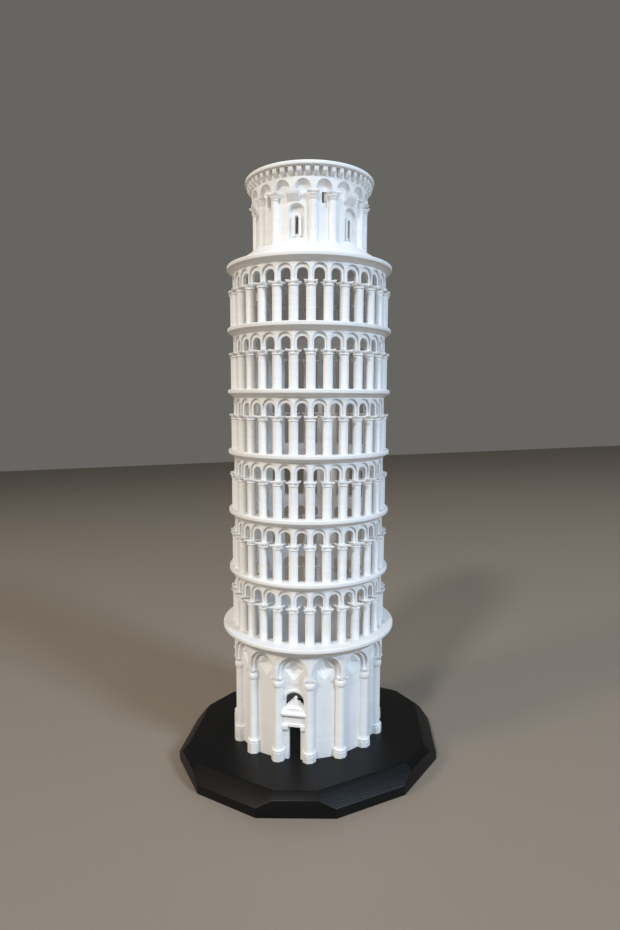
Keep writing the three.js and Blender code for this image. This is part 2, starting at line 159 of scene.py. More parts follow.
LOOPHOLE_STEP = dict(left=0.3, right=1.5, foot=223.9, top=232.0)
LOOPHOLE_STEP_DEPTH = 0.9
PIER_CORBEL_HALF = 2.6
PIER_CORBEL_NEAR = 22
BRACKETS = 48
BRACKET_BEARING = 3.2
BRACKET = dict(half=0.9, knee=236.4, foot=234.85, near=24.1, far=26.2)
BAND_TOP = 238.4
RIM = dict(radius=27, foot=238.3, top=240, nose=0.8)
DECK_SIDES = 96

# ---- mesh helpers -----------------------------------------------------------------------------


class Shape:
    """The points, in the tower's frame, and the faces of one piece."""

    def __init__(self):
        self.points = []
        self.faces = []
        self.curved = []

    def add(self, part, bearing=0.0):
        """Adds a part (points, faces, curved) turned to a bearing. curved faces shade smoothly."""
        points, faces, curved = part
        cos, sin = math.cos(math.radians(bearing)), math.sin(math.radians(bearing))
        base = len(self.points)
        self.points += [(x * cos - y * sin, x * sin + y * cos, z) for x, y, z in points]
        self.faces += [tuple(base + i for i in face) for face in faces]
        self.curved += curved if isinstance(curved, list) else [curved] * len(faces)
        return self

    def around(self, part, bearings):
        for bearing in bearings:
            self.add(part, bearing)
        return self


def evenly(first, count):
    return [first + i * 360 / count for i in range(count)]


def turned(profile, sides, closed=False, out=0.0, phase=0.0):
    """A profile of (radius, height) points turned about a vertical line `out` from the axis.
    A closed profile makes a ring. An open one, listed upwards, is capped at both ends."""
    points = []
    for radius, height in profile:
        for k in range(sides):
            angle = 2 * math.pi * k / sides + phase
            points.append((radius * math.cos(angle), radius * math.sin(angle) - out, height))
    rows = len(profile)
    faces = []
    for i in range(rows if closed else rows - 1):
        low, high = i * sides, ((i + 1) % rows) * sides
        for k in range(sides):
            nxt = (k + 1) % sides
            faces.append((low + k, low + nxt, high + nxt, high + k))
    curved = [True] * len(faces)
    if not closed:
        faces.append(tuple(reversed(range(sides))))
        faces.append(tuple((rows - 1) * sides + k for k in range(sides)))
        curved += [False, False]
    return points, faces, curved


def prism(outline, near, far, curved=False):
    """An outline of (across, height) points, counter-clockwise seen from outside,
    between two distances from the axis, facing bearing 0."""
    count = len(outline)
    points = [(x, -far, z) for x, z in outline] + [(x, -near, z) for x, z in outline]
    faces = [tuple(range(count)), tuple(reversed(range(count, 2 * count)))]
    for i in range(count):
        nxt = (i + 1) % count
        faces.append((i, i + count, nxt + count, nxt))
    return points, faces, [False, False] + [curved] * count


def extruded_profile(profile, width, offset=0.0):
    """A closed (distance from the axis, height) outline, clockwise seen from the +X side,
    drawn out across bearing 0 to a width."""
    count = len(profile)
    points = [(offset + side * width / 2, -r, z) for side in (-1, 1) for r, z in profile]
    faces = [tuple(range(count)), tuple(reversed(range(count, 2 * count)))]
    for i in range(count):
        nxt = (i + 1) % count
        faces.append((i, i + count, nxt + count, nxt))
    return points, faces, [False, False] + [True] * count


def layered(rows):
    """A closed solid through rows of points. The first row, seen from outside, goes round
    counter-clockwise."""
    count = len(rows[0])
    points = [point for row in rows for point in row]
    last = (len(rows) - 1) * count
    faces = [tuple(range(count)), tuple(last + i for i in reversed(range(count)))]
    for low in range(0, last, count):
        for i in range(count):
            nxt = (i + 1) % count
            faces.append((low + i, low + count + i, low + count + nxt, low + nxt))
    return points, faces, [False, False] + [True] * (len(faces) - 2)


def stacked(rows):
    """A block against the wall through rows of (half width, near, far, corner cut, height),
    listed downwards."""
    return layered([
        [(half, -near, z), (-half, -near, z), (-half, cut - far, z), (cut - half, -far, z),
         (half - cut, -far, z), (half, cut - far, z)]
        for half, near, far, cut, z in rows])


def hollow(outline, pivot, levels):
    """A closed cutter whose arch-like outline shrinks towards a pivot height as it goes in.
    levels lists (share of the size, distance from the axis), from outside to inside."""
    return layered([[(x * s, -r, pivot + (z - pivot) * s) for x, z in outline] for s, r in levels])


def arch_line(radius, foot, springing, steps):
    """Left jamb, half circle and right jamb as (across, height) points."""
    arc = [math.pi * k / steps for k in range(steps + 1)]
    line = [(-radius, foot)]
    line += [(-radius * math.cos(t), springing + radius * math.sin(t)) for t in arc]
    return line + [(radius, foot)]


def arch_outline(radius, foot, springing, steps):
    return list(reversed(arch_line(radius, foot, springing, steps)))


def rectangle(left, right, foot, top):
    return [(left, foot), (right, foot), (right, top), (left, top)]


def arcade_bay(form, bays, foot, floor, top, steps=16):
    """One bay of an arcade wall in two orders, open below at `foot`, where the capitals are."""
    slope = math.tan(math.pi / bays)
    springing = floor + form["springing"]
    wide = arch_line(form["wide"], foot, springing + form["rise"], steps)
    narrow = arch_line(form["narrow"], foot, springing, steps)
    points, faces, curved = [], [], []

    def put(line, distance):
        base = len(points)
        points.extend((x, -distance, z) for x, z in line)
        return list(range(base, base + len(line)))

    def panel(line, distance, outward):
        half = distance * slope
        edge = put([(half, foot), (half, top), (-half, top), (-half, foot)], distance)
        face = put(line, distance) + edge
        faces.append(tuple(face if not outward else reversed(face)))
        curved.append(False)
        return face[: len(line)], edge

    front, front_edge = panel(wide, form["front"], True)
    back, back_edge = panel(narrow, form["back"], False)
    step_wide = put(wide, form["step"])
    step_narrow = put(narrow, form["step"])
    for i in range(len(wide) - 1):
        faces.append((front[i], front[i + 1], step_wide[i + 1], step_wide[i]))
        faces.append((step_wide[i], step_wide[i + 1], step_narrow[i + 1], step_narrow[i]))
        faces.append((step_narrow[i], step_narrow[i + 1], back[i + 1], back[i]))
        curved.extend((True, False, True))
    faces.append((front_edge[1], front_edge[2], back_edge[2], back_edge[1]))
    left = (front[0], step_wide[0], step_narrow[0], back[0], back_edge[3], front_edge[3])
    right = (front[-1], front_edge[0], back_edge[0], back[-1], step_narrow[-1], step_wide[-1])
    faces.extend((left, right))
    curved.extend((False, False, False))
    return points, faces, curved


def horned_slab(half, dip, foot, top, out, lift, bevel=0.82, steps=6):
    """An abacus: a square slab with hollow sides and corners that reach out and a little up."""
    outline = []
    for side in range(4):
        for k in range(steps):
            t = -1 + 2 * k / steps
            x, y = t * half * 0.92, half - dip * (1 - t * t)
            for _ in range(side):
                x, y = y, -x
            outline.append((x, y, lift * t * t if k else lift))
    count = len(outline)
    middle = (foot + top) / 2
    levels = [(bevel * 0.86, foot, 0), (bevel, foot + 0.1, 0.2), (0.97, middle, 0.5),
              (1, top - 0.15, 0.8), (0.97, top, 1), (0.75, top, 0.35)]
    points = [(x * s, y * s - out, z + raised * w)
              for s, z, w in levels for x, y, raised in outline]
    faces = [tuple(range(count))]
    for low in range(0, (len(levels) - 1) * count, count):
        high = low + count
        for k in range(count):
            nxt = (k + 1) % count
            faces.append((low + k, high + k, high + nxt, low + nxt))
    faces.append(tuple(reversed(range((len(levels) - 1) * count, len(levels) * count))))
    return points, faces, [False] + [True] * (len(faces) - 2) + [False]


def rounded(radius, low, high, bulge, steps=5):
    """Profile points of a roll moulding that swells from `radius` by `bulge`."""
    angles = [math.pi * k / steps for k in range(steps + 1)]
    half = (high - low) / 2
    return [(radius + bulge * math.sin(t), low + half - half * math.cos(t)) for t in angles]


def moved_across(part, x):
    points, faces, curved = part
    return [(px + x, py, pz) for px, py, pz in points], faces, curved


def ball(radius, x, out, height, rings=6, sides=12):
    angles = [math.pi * (k + 0.5) / rings for k in range(rings)]
    outline = [(radius * math.sin(t), height - radius * math.cos(t)) for t in angles]
    return moved_across(turned(outline, sides, out=out), x)


def fill(mesh, shape, lean):
    """Writes a shape to a mesh in metres, welded, with outward normals and sharp corners."""
    matrix = TO_METRES @ LEAN if lean else TO_METRES
    mesh.from_pydata([matrix @ Vector(p) for p in shape.points], [], shape.faces)
    mesh.polygons.foreach_set("use_smooth", shape.curved)
    work = bmesh.new()
    work.from_mesh(mesh)
    bmesh.ops.remove_doubles(work, verts=work.verts, dist=2e-7)
    bmesh.ops.recalc_face_normals(work, faces=work.faces)
    work.to_mesh(mesh)
    work.free()


def mark_corners(mesh, limit=38):
    """Keeps flat faces flat and makes edges sharper than the limit crisp between curved ones."""
    curved = [False] * len(mesh.polygons)
    mesh.polygons.foreach_get("use_smooth", curved)
    mesh.set_sharp_from_angle(angle=math.radians(limit))
    mesh.polygons.foreach_set("use_smooth", curved)


def piece(name, shape, material, nodes, lean=True):
    """Makes a piece that rides on the part's only body and stands for these CAD nodes."""
    mesh = bpy.data.meshes.new(name)
    fill(mesh, shape, lean)
    mark_corners(mesh)
    mesh.materials.append(material)
    made = bpy.data.objects.new(name, mesh)
    bpy.context.scene.collection.objects.link(made)
    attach(made, "root")
    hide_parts(*nodes)
    return made


def carve(made, cuts):
    """Cuts closed shapes out of a piece and keeps the result as its mesh."""
    mesh = bpy.data.meshes.new("cutter")
    fill(mesh, cuts, True)
    cutter = bpy.data.objects.new("cutter", mesh)
    bpy.context.scene.collection.objects.link(cutter)
    modifier = made.modifiers.new("cut", "BOOLEAN")
    modifier.operation = "DIFFERENCE"
    modifier.solver = "EXACT"
    modifier.use_self = True
    modifier.object = cutter
    bpy.context.view_layer.update()
    shown = made.evaluated_get(bpy.context.evaluated_depsgraph_get())
    result = bpy.data.meshes.new_from_object(shown)
    made.modifiers.remove(modifier)
    bpy.data.objects.remove(cutter)
    result.name = made.name
    result.materials.clear()
    result.materials.append(made.data.materials[0])
    made.data = result
    mark_corners(result)


# ---- materials --------------------------------------------------------------------------------

LAYER_BUMP = 0.6
LAYER_DEPTH = 0.00012               # in metres


def printed_plastic(name, dark, light, roughness, gleam, along):
    """Layered printed plastic. `along` is the direction in which the layers were stacked."""
    material = bpy.data.materials.new(name)
    material.use_nodes = True
    tree = material.node_tree
    nodes, links = tree.nodes, tree.links
    shader = nodes["Principled BSDF"]
    coordinates = nodes.new("ShaderNodeTexCoord")
    upright = nodes.new("ShaderNodeMapping")
    upright.vector_type = "TEXTURE"
    upright.inputs["Rotation"].default_value = (
        Vector((0, 0, 1)).rotation_difference(Vector(along)).to_euler())
    links.new(coordinates.outputs["Object"], upright.inputs["Vector"])

    def grain(scale, detail):
        stretch = nodes.new("ShaderNodeMapping")
        stretch.inputs["Scale"].default_value = scale
        links.new(upright.outputs["Vector"], stretch.inputs["Vector"])
        noise = nodes.new("ShaderNodeTexNoise")
        noise.inputs["Scale"].default_value = 1
        noise.inputs["Detail"].default_value = detail
        noise.inputs["Roughness"].default_value = 0.5
        links.new(stretch.outputs["Vector"], noise.inputs["Vector"])
        return noise.outputs["Fac"]

    def blend(first, second, share):
        mix = nodes.new("ShaderNodeMix")
        mix.inputs["Factor"].default_value = share
        links.new(first, mix.inputs["A"])
        links.new(second, mix.inputs["B"])
        return mix.outputs["Result"]

    layers = grain((70, 70, 4200), 2)
    bands = grain((18, 18, 620), 3)
    clouds = grain((55, 55, 70), 3)
    pits = grain((1500, 1500, 1500), 1)

    tone = blend(blend(bands, clouds, 0.5), layers, 0.25)
    ramp = nodes.new("ShaderNodeValToRGB")
    ramp.color_ramp.elements[0].position = 0.3
    ramp.color_ramp.elements[0].color = (*dark, 1)
    ramp.color_ramp.elements[1].position = 0.7
    ramp.color_ramp.elements[1].color = (*light, 1)
    links.new(tone, ramp.inputs["Fac"])
    links.new(ramp.outputs["Color"], shader.inputs["Base Color"])

    gloss = nodes.new("ShaderNodeMapRange")
    gloss.inputs["From Min"].default_value = 0.25
    gloss.inputs["From Max"].default_value = 0.75
    gloss.inputs["To Min"].default_value = roughness[0]
    gloss.inputs["To Max"].default_value = roughness[1]
    links.new(blend(bands, pits, 0.4), gloss.inputs["Value"])
    links.new(gloss.outputs["Result"], shader.inputs["Roughness"])

    height = blend(blend(layers, bands, 0.35), pits, 0.12)
    bump = nodes.new("ShaderNodeBump")
    bump.inputs["Strength"].default_value = LAYER_BUMP
    bump.inputs["Distance"].default_value = LAYER_DEPTH
    links.new(height, bump.inputs["Height"])
    links.new(bump.outputs["Normal"], shader.inputs["Normal"])
    shader.inputs["Specular IOR Level"].default_value = gleam
    return material


white = printed_plastic(
    "white_print", dark=(0.79, 0.79, 0.78), light=(0.92, 0.92, 0.915), roughness=(0.5, 0.68),
    gleam=0.5, along=AXIS)
black = printed_plastic(
    "black_print", dark=(0.0015, 0.0015, 0.0017), light=(0.004, 0.004, 0.0044),
    roughness=(0.34, 0.48), gleam=0.22, along=(0, 0, 1))


def white_piece(name, shape, node):
    """A piece of the leaning tower, which stands for one CAD node or for a share of it."""
    return piece(name, shape, white, [node])


# ---- stand ------------------------------------------------------------------------------------

STAND_SIDES = 12
STAND_CORNER_RADIUS = 59
LONG_BEVEL = (3.8, 5.75)            # the height where it starts, and how far it goes in
SHORT_BEVEL = (6.8, 2.6)
STAND_EDGE = 0.32


def stand_corner(index, short_apothem, long_apothem):
    """Corner where a short-bevelled side meets the long-bevelled side before or after it."""
    apart = 2 * math.pi / STAND_SIDES
    bearing = math.radians(60 * (index // 2))
    turn = -1 if index % 2 == 0 else 1
    across = turn * (long_apothem - short_apothem * math.cos(apart)) / math.sin(apart)
    x = short_apothem * math.sin(bearing) + across * math.cos(bearing)
    y = -short_apothem * math.cos(bearing) + across * math.sin(bearing)
    return x, y


def stand():
    apothem = STAND_CORNER_RADIUS * math.cos(math.radians(15))
    points, faces = [], []
    levels = [0, LONG_BEVEL[0], SHORT_BEVEL[0], STAND_TOP]
    for z in levels:
        inset = [inward * max(0, z - start) / (STAND_TOP - start)
                 for start, inward in (SHORT_BEVEL, LONG_BEVEL)]
        points += [(*stand_corner(i, apothem - inset[0], apothem - inset[1]), z)
                   for i in range(STAND_SIDES)]
    last = (len(levels) - 1) * STAND_SIDES
    for level in range(0, last, STAND_SIDES):
        for i in range(STAND_SIDES):
            low, nxt = level + i, level + (i + 1) % STAND_SIDES
            faces.append((low, nxt, nxt + STAND_SIDES, low + STAND_SIDES))
    faces.append(tuple(reversed(range(STAND_SIDES))))
    faces.append(tuple(last + i for i in range(STAND_SIDES)))
    made = piece("stand", Shape().add((points, faces, False)), black,
                 ["display_base"], lean=False)
    work = bmesh.new()
    work.from_mesh(made.data)
    bmesh.ops.dissolve_limit(work, angle_limit=0.01, verts=work.verts, edges=work.edges)
    sharp = [e for e in work.edges if e.calc_face_angle(0) > 0.2]
    bmesh.ops.bevel(work, geom=sharp, offset=STAND_EDGE * MM, segments=3, profile=0.6,
                    affect="EDGES", clamp_overlap=True)
    for face in work.faces:
        face.smooth = True
    work.to_mesh(made.data)
    work.free()
    mark_corners(made.data, limit=24)


stand()

# ---- cornices ---------------------------------------------------------------------------------


def cornice_foot(number):
    return FIRST_CORNICE + (number - 1) * STOREY


def floor_of(number):
    """Height of the floor on which storey `number` stands."""
    return cornice_foot(number - 1) + LIP_HEIGHT


def lip(radius, foot, top, nose=0.55, steps=5):
    """Rounded edge from the underside to the top, as profile points."""
    arc = [math.pi / 2 * k / steps for k in range(steps + 1)]
    under = [(radius - nose * 0.5 + nose * 0.5 * math.sin(t),
              foot + nose * 0.5 * (1 - math.cos(t))) for t in arc]
    over = [(radius - nose + nose * math.cos(t), top - nose + nose * math.sin(t)) for t in arc]
    return under + over


def cornice_ring(number):
    """A ring whose underside slopes up from the arcade to a rounded lip. The last one reaches
    further in, because the belfry stands on it."""
    z = cornice_foot(number)
    top = z + LIP_HEIGHT
    radius = FIRST_CORNICE_RADIUS if number == 1 else CORNICE_RADIUS
    drop = FIRST_SOFFIT_DROP if number == 1 else SOFFIT_DROP
    arcade = (GROUND if number == 1 else LOGGIA)["front"] + 0.25
    reach = radius - 0.5 - arcade
    soffit = [(CORNICE_INNER, z - drop), (arcade, z - drop), (arcade + 0.1, z - drop * 0.95),
              (arcade + 0.1 + reach / 2, z - drop * 0.95 / 2)]
    if number == CORNICES:
        inside = [(BELFRY_INNER, top), (BELFRY_INNER, z), (CORNICE_INNER, z)]
    else:
        inside = [(CORNICE_INNER, top)]
    return turned(soffit + lip(radius, z, top) + inside, RING_SIDES, closed=True)


for number in range(1, CORNICES + 1):
    white_piece(f"cornice_ring_{number}", Shape().add(cornice_ring(number)), f"cornice_{number}")

# ---- columns ----------------------------------------------------------------------------------


def capital_profile(radius, foot, parts):
    """A roll, a basket and a neck above a shaft. parts gives each one's height and swell."""
    roll, basket, neck = parts
    points = rounded(radius, foot, foot + roll[0], roll[1])
    z = foot + roll[0]
    points += [(radius + 0.05, z + 0.05), (radius + basket[1] * 0.55, z + basket[0] * 0.45),
               (radius + basket[1], z + basket[0])]
    z += basket[0]
    points += [(radius + neck[1], z + neck[0])]
    return points


def add_columns(shape, bearings, circle, radius, base, capital_foot, capital_top, parts, abacus):
    """Columns with a turned base, shaft and capital, each under an abacus."""
    outline = base + [(radius, capital_foot - 0.02)] + capital_profile(radius, capital_foot, parts)
    shape.around(turned(outline, COLUMN_SIDES, out=circle), bearings)
    half, slab, lift = abacus["half"], abacus["slab"], abacus["lift"]
    shape.around(
        horned_slab(half, half * 0.24, capital_top - slab, capital_top, circle, lift), bearings)


def loggia(number):
    """The columns and the arches of one open storey."""
    floor = floor_of(number)
    columns = Shape()
    add_columns(
        columns, evenly(COLUMN_BEARING, BAYS), COLUMN_CIRCLE, COLUMN_RADIUS,
        [(COLUMN_RADIUS + 0.12, floor - 0.2), (COLUMN_RADIUS + 0.1, floor + 0.1),
         (COLUMN_RADIUS, floor + 0.3)],
        floor + CAPITAL_FOOT, floor + CAPITAL_TOP, CAPITAL_PARTS, ABACUS)
    white_piece(f"loggia_columns_{number}", columns, f"loggia_{number}")
    arches_top = cornice_foot(number) - SOFFIT_DROP + 0.1
    arches = Shape().around(
        arcade_bay(LOGGIA, BAYS, floor + CAPITAL_TOP - 0.1, floor, arches_top),
        evenly(COLUMN_BEARING + 180 / BAYS, BAYS))
    white_piece(f"loggia_arches_{number}", arches, f"loggia_{number}")


for number in range(2, CORNICES + 1):
    loggia(number)

# ---- ground storey ----------------------------------------------------------------------------

GROUND_TOP = FIRST_CORNICE - FIRST_SOFFIT_DROP + 0.1
GROUND_BAY_BEARINGS = evenly(COLUMN_BEARING - 180 / GROUND_BAYS, GROUND_BAYS)


def lozenge_cutter():
    """An inverted pyramid with a small flat bottom."""
    h, a, u, depth, core = (LOZENGE[k] for k in ("height", "across", "up", "depth", "core"))
    ring = [(0, -u), (a, 0), (0, u), (-a, 0)]
    proud = 0.2
    grow = 1 + proud * (1 - core) / depth
    levels = [(grow, DRUM_APOTHEM + proud), (core, DRUM_APOTHEM - depth)]
    points = [(x * s, -r, h + z * s) for s, r in levels for x, z in ring]
    faces = [(0, 1, 2, 3), (7, 6, 5, 4)]
    faces += [(i, i + 4, (i + 1) % 4 + 4, (i + 1) % 4) for i in range(4)]
    return points, faces, False


def ground_drum():
    corner = 1 / math.cos(math.pi / GROUND_BAYS)
    outer, inner = DRUM_APOTHEM * corner, DRUM_INNER * corner
    outline = [(inner, BURIED), (outer, BURIED), (outer, GROUND_TOP), (inner, GROUND_TOP)]
    phase = math.radians(COLUMN_BEARING - 90)
    points, faces, _ = turned(outline, GROUND_BAYS, closed=True, phase=phase)
    made = white_piece("ground_drum", Shape().add((points, faces, False)), "ground_storey")
    cuts = Shape()
    cuts.around(lozenge_cutter(), GROUND_BAY_BEARINGS)
    half = DOOR["width"] / 2
    door = rectangle(-half, half, BURIED - 1, DOOR["top"])
    cuts.add(prism(door, DRUM_INNER - 2, DRUM_APOTHEM + 1), DOOR_BEARING)
    lunette = arch_outline(LUNETTE["radius"], LUNETTE["foot"], LUNETTE["springing"], steps=24)
    cuts.add(prism(lunette, DRUM_INNER - 2, DRUM_APOTHEM + 1, True), DOOR_BEARING)
    carve(made, cuts)


ground_drum()

ground_columns = Shape()
add_columns(
    ground_columns, evenly(COLUMN_BEARING, GROUND_BAYS), GROUND_COLUMN_CIRCLE, GROUND_COLUMN_RADIUS,
    [(2.6, PLINTH_TOP - 1.2)] + rounded(2.6, PLINTH_TOP - 1.0, PLINTH_TOP, 0.22)
    + [(2.3, PLINTH_TOP + 0.15), (2.1, PLINTH_TOP + 0.6), (GROUND_COLUMN_RADIUS, PLINTH_TOP + 1.1)],
    GROUND_CAPITAL_FOOT, GROUND_CAPITAL_TOP, GROUND_CAPITAL_PARTS, GROUND_ABACUS)
plinth = [(PLINTH_RADIUS, BURIED), (PLINTH_RADIUS, PLINTH_TOP - 1.15), (2.7, PLINTH_TOP - 0.9)]
ground_columns.around(
    turned(plinth, PLINTH_SIDES, out=GROUND_COLUMN_CIRCLE, phase=math.pi / PLINTH_SIDES),
    evenly(COLUMN_BEARING, GROUND_BAYS))
white_piece("ground_columns", ground_columns, "ground_arcade")

ground_arches = Shape().around(
    arcade_bay(GROUND, GROUND_BAYS, GROUND_CAPITAL_TOP - 0.1, 0, GROUND_TOP, steps=28),
    GROUND_BAY_BEARINGS)
white_piece("ground_arches", ground_arches, "ground_arcade")

# ---- door group -------------------------------------------------------------------------------


def arch_band(inner, outer, foot, springing, near, far, steps=24):
    """A flat raised band around an arch."""
    first = arch_line(inner, foot, springing, steps)
    second = arch_line(outer, foot, springing, steps)
    return prism(list(reversed(second)) + first, near, far, True)


def robed_figure(x, foot, top, breadth, out, sides=14):
    """A plain standing figure: a robe with shoulders and a neck, and a head."""
    tall = top - foot
    head = 0.13 * tall + 0.1
    profile = [(breadth, foot), (breadth * 0.9, foot + 0.12 * tall),
               (breadth * 0.66, foot + 0.45 * tall), (breadth * 0.72, foot + 0.6 * tall),
               (breadth * 0.6, foot + 0.7 * tall), (breadth * 0.3, foot + 0.75 * tall),
               (breadth * 0.26, foot + 0.8 * tall)]
    return moved_across(turned(profile, sides, out=out), x), ball(head, x, out, top - head)


def add_figure(shape, *dimensions):
    for part in robed_figure(*dimensions):
        shape.add(part, DOOR_BEARING)


beam = [(DOOR_GROUP_BACK, 16.2), (31.3, 16.2), (31.5, 16.4), (31.5, 17.4), (31.3, 17.65),
        (31.1, 17.75), (31.1, 20.2), (DOOR_GROUP_BACK, 20.4)]
corbel = [(DOOR_GROUP_BACK, 14.0), (30.9, 14.1), (31.4, 14.5), (31.75, 15.1), (31.85, 15.7),
          (31.85, 16.9), (31.5, 17.2), (DOOR_GROUP_BACK, 17.2)]
lintel = Shape().add(extruded_profile(beam, LINTEL_WIDTH), DOOR_BEARING)
for side in (-1, 1):
    lintel.add(
        extruded_profile(corbel, DOOR_CORBEL["width"], side * DOOR_CORBEL["apart"]), DOOR_BEARING)
white_piece("door_lintel_beam", lintel, "door_lintel")

shelf = [(DOOR_GROUP_BACK, 20.5), (31.3, 20.6), (31.9, 21.0), (32.2, 21.4), (32.6, 21.6),
         (32.6, 22.2), (32.3, 22.5), (31.1, 24.2), (DOOR_GROUP_BACK, 24.6)]
white_piece(
    "door_shelf", Shape().add(extruded_profile(shelf, SHELF_WIDTH), DOOR_BEARING), "door_ledge")

archivolt = Shape()
for inner, outer, proud in LUNETTE_BANDS:
    archivolt.add(
        arch_band(LUNETTE["radius"] + inner, LUNETTE["radius"] + outer, LUNETTE["foot"] - 0.2,
                  LUNETTE["springing"], DOOR_GROUP_BACK, DRUM_APOTHEM + proud), DOOR_BEARING)
white_piece("lunette_archivolt", archivolt, "ground_storey")

sill = [(28.6, 23.6), (30.7, 23.6), (30.7, 24.2), (30.3, 24.7), (28.9, 25.0), (28.6, 24.9)]
figures = Shape().add(extruded_profile(sill, SILL_WIDTH), DOOR_BEARING)
for x, top, breadth in FIGURES:
    add_figure(figures, x, FIGURES_FOOT, top, breadth, 29.6 - 0.12 * abs(x))
white_piece("lunette_figures", figures, "door_figures")

relief = Shape()
for k in range(RELIEF_COUNT):
    x = -RELIEF_WIDTH / 2 + RELIEF_WIDTH * k / (RELIEF_COUNT - 1)
    top = 24.35 - 0.03 * x * x + 0.15 * (k % 2)
    add_figure(relief, x, RELIEF_FOOT, top, 0.5, 31.5)
white_piece("shelf_relief", relief, "door_ledge")

# ---- belfry -----------------------------------------------------------------------------------

TERRACE = floor_of(CORNICES + 1)
NICHE_BEARINGS = evenly(NICHE_BEARING, NICHES)
LOOPHOLE_BEARINGS = evenly(LOOPHOLE_BEARING, NICHES)
PIER_BEARINGS = evenly(BELFRY_COLUMN_BEARING, BELFRY_BAYS)
OVER_NICHES = PIER_BEARINGS[2::3]


def belfry_steps():
    """The chamfered ring under the belfry, with a flared sill below each niche."""
    ring = [(BELFRY_INNER, TERRACE - 0.1), (28.15, TERRACE - 0.1), (28.15, TERRACE + 0.35),
            (27.9, TERRACE + 0.5), (27.9, 208.1), (27.75, 208.35), (27.4, 208.55), (25.3, 209.95),
            (25.0, 210.1), (24.8, STEP_TOP), (BELFRY_INNER, STEP_TOP)]
    sill = [(2.3, 21.2, 22.75, 0.3, 212.5), (2.9, 21.2, 23.1, 0.7, 212.1),
                (3.5, 21.2, 23.75, 1.0, 211.3), (4.6, 21.2, 24.5, 1.4, 210.5),
                (6.0, 21.2, 25.5, 1.9, 209.7), (7.6, 21.2, 26.6, 2.6, 208.7)]
    shape = Shape().add(turned(ring, RING_SIDES, closed=True))
    white_piece("belfry_steps", shape.around(stacked(sill), NICHE_BEARINGS), "belfry_step")


def belfry_drum():
    """The wall, with its niches, the slits in them, and the stepped loopholes."""
    shell = [(BELFRY_INNER, BELFRY_FOOT), (BELFRY_WALL, BELFRY_FOOT), (BELFRY_WALL, BELFRY_TOP),
             (BELFRY_INNER, BELFRY_TOP)]
    made = white_piece(
        "belfry_drum", Shape().add(turned(shell, BELFRY_SIDES, closed=True)), "belfry_wall")
    outline = arch_outline(NICHE["radius"], NICHE["foot"], NICHE["springing"], steps=20)
    levels = ((1.02, BELFRY_WALL + 1), (1, BELFRY_WALL - 0.5), (0.98, BELFRY_WALL - 1.1),
              (0.9, BELFRY_WALL - 1.6), (0.78, BELFRY_WALL - 1.85))
    carve(made, Shape().around(hollow(outline, NICHE["pivot"], levels), NICHE_BEARINGS))
    slit = arch_outline(SLIT["radius"], SLIT["foot"], SLIT["springing"], steps=10)
    slots = Shape().around(prism(slit, BELFRY_INNER - 2, BELFRY_WALL), NICHE_BEARINGS)
    slots.around(
        prism(rectangle(**LOOPHOLE), BELFRY_INNER - 2, BELFRY_WALL + 1), LOOPHOLE_BEARINGS)
    carve(made, slots)
    sunk = prism(
        rectangle(**LOOPHOLE_STEP), BELFRY_WALL - LOOPHOLE_STEP_DEPTH, BELFRY_WALL + 1)
    carve(made, Shape().around(sunk, LOOPHOLE_BEARINGS))


def belfry_columns():
    """Columns at every pier, except over the niches, where pier_corbels are."""
    shape = Shape()
    add_columns(
        shape, [b for b in PIER_BEARINGS if b not in OVER_NICHES], BELFRY_COLUMN_CIRCLE,
        BELFRY_COLUMN_RADIUS,
        [(2.3, BELFRY_FOOT), (2.3, BELFRY_FOOT + 0.5), (2.0, BELFRY_FOOT + 1.0),
         (BELFRY_COLUMN_RADIUS, BELFRY_FOOT + 1.3)],
        BELFRY_CAPITAL_FOOT, BELFRY_CAPITAL_TOP, BELFRY_CAPITAL_PARTS, BELFRY_ABACUS)
    white_piece("belfry_columns", shape, "belfry_arcade")


def arch_opening(radius, springing, horn, rise, foot, face, wall, steps=20):
    """A closed cutter: an open arch at the face, whose soffit slopes to a low arc at the wall."""
    front = arch_outline(radius, foot, springing, steps)
    back = [(x, z if z == foot else horn + rise * (z - springing) / radius) for x, z in front]
    edge = [(x * 1.03, springing + (z - springing) * 1.03 if z > springing else z)
            for x, z in front]
    levels = ((edge, face + 1), (front, face - 0.15), (back, wall))
    return layered([[(x, -r, z) for x, z in line] for line, r in levels])


def belfry_arches():
    """The ring of small arches, with one opening between each two piers."""
    back = BELFRY_WALL - 0.6
    ring = [(back, ARCHES_FOOT), (BELFRY_FACE, ARCHES_FOOT), (BELFRY_FACE, BELFRY_TOP),
            (back, BELFRY_TOP)]
    made = white_piece(
        "belfry_arches", Shape().add(turned(ring, BELFRY_SIDES, closed=True)), "belfry_arcade")
    opening = arch_opening(
        **BELFRY_ARCH, foot=ARCHES_FOOT - 1, face=BELFRY_FACE, wall=BELFRY_WALL - 0.3)
    bearings = evenly(BELFRY_COLUMN_BEARING + 180 / BELFRY_BAYS, BELFRY_BAYS)
    carve(made, Shape().around(opening, bearings))


def slanted_block(half, near, profile):
    """A block against the wall through (distance from the axis, height) points, downwards."""
    return stacked([(half, near, far, 0.1, z) for far, z in profile])


def bracket(half, knee, foot, near, far):
    """A square block whose underside slants back to the wall."""
    return slanted_block(half, near, [
        (far, BAND_TOP), (far, knee + 0.12), (far - 0.1, knee - 0.05), (near + 0.4, foot + 0.1),
        (near + 0.2, foot - 0.1)])


belfry_steps()
belfry_drum()
white_piece("niche_frames", Shape().around(arch_band(**NICHE_FRAME), NICHE_BEARINGS), "belfry_wall")
belfry_columns()
belfry_arches()

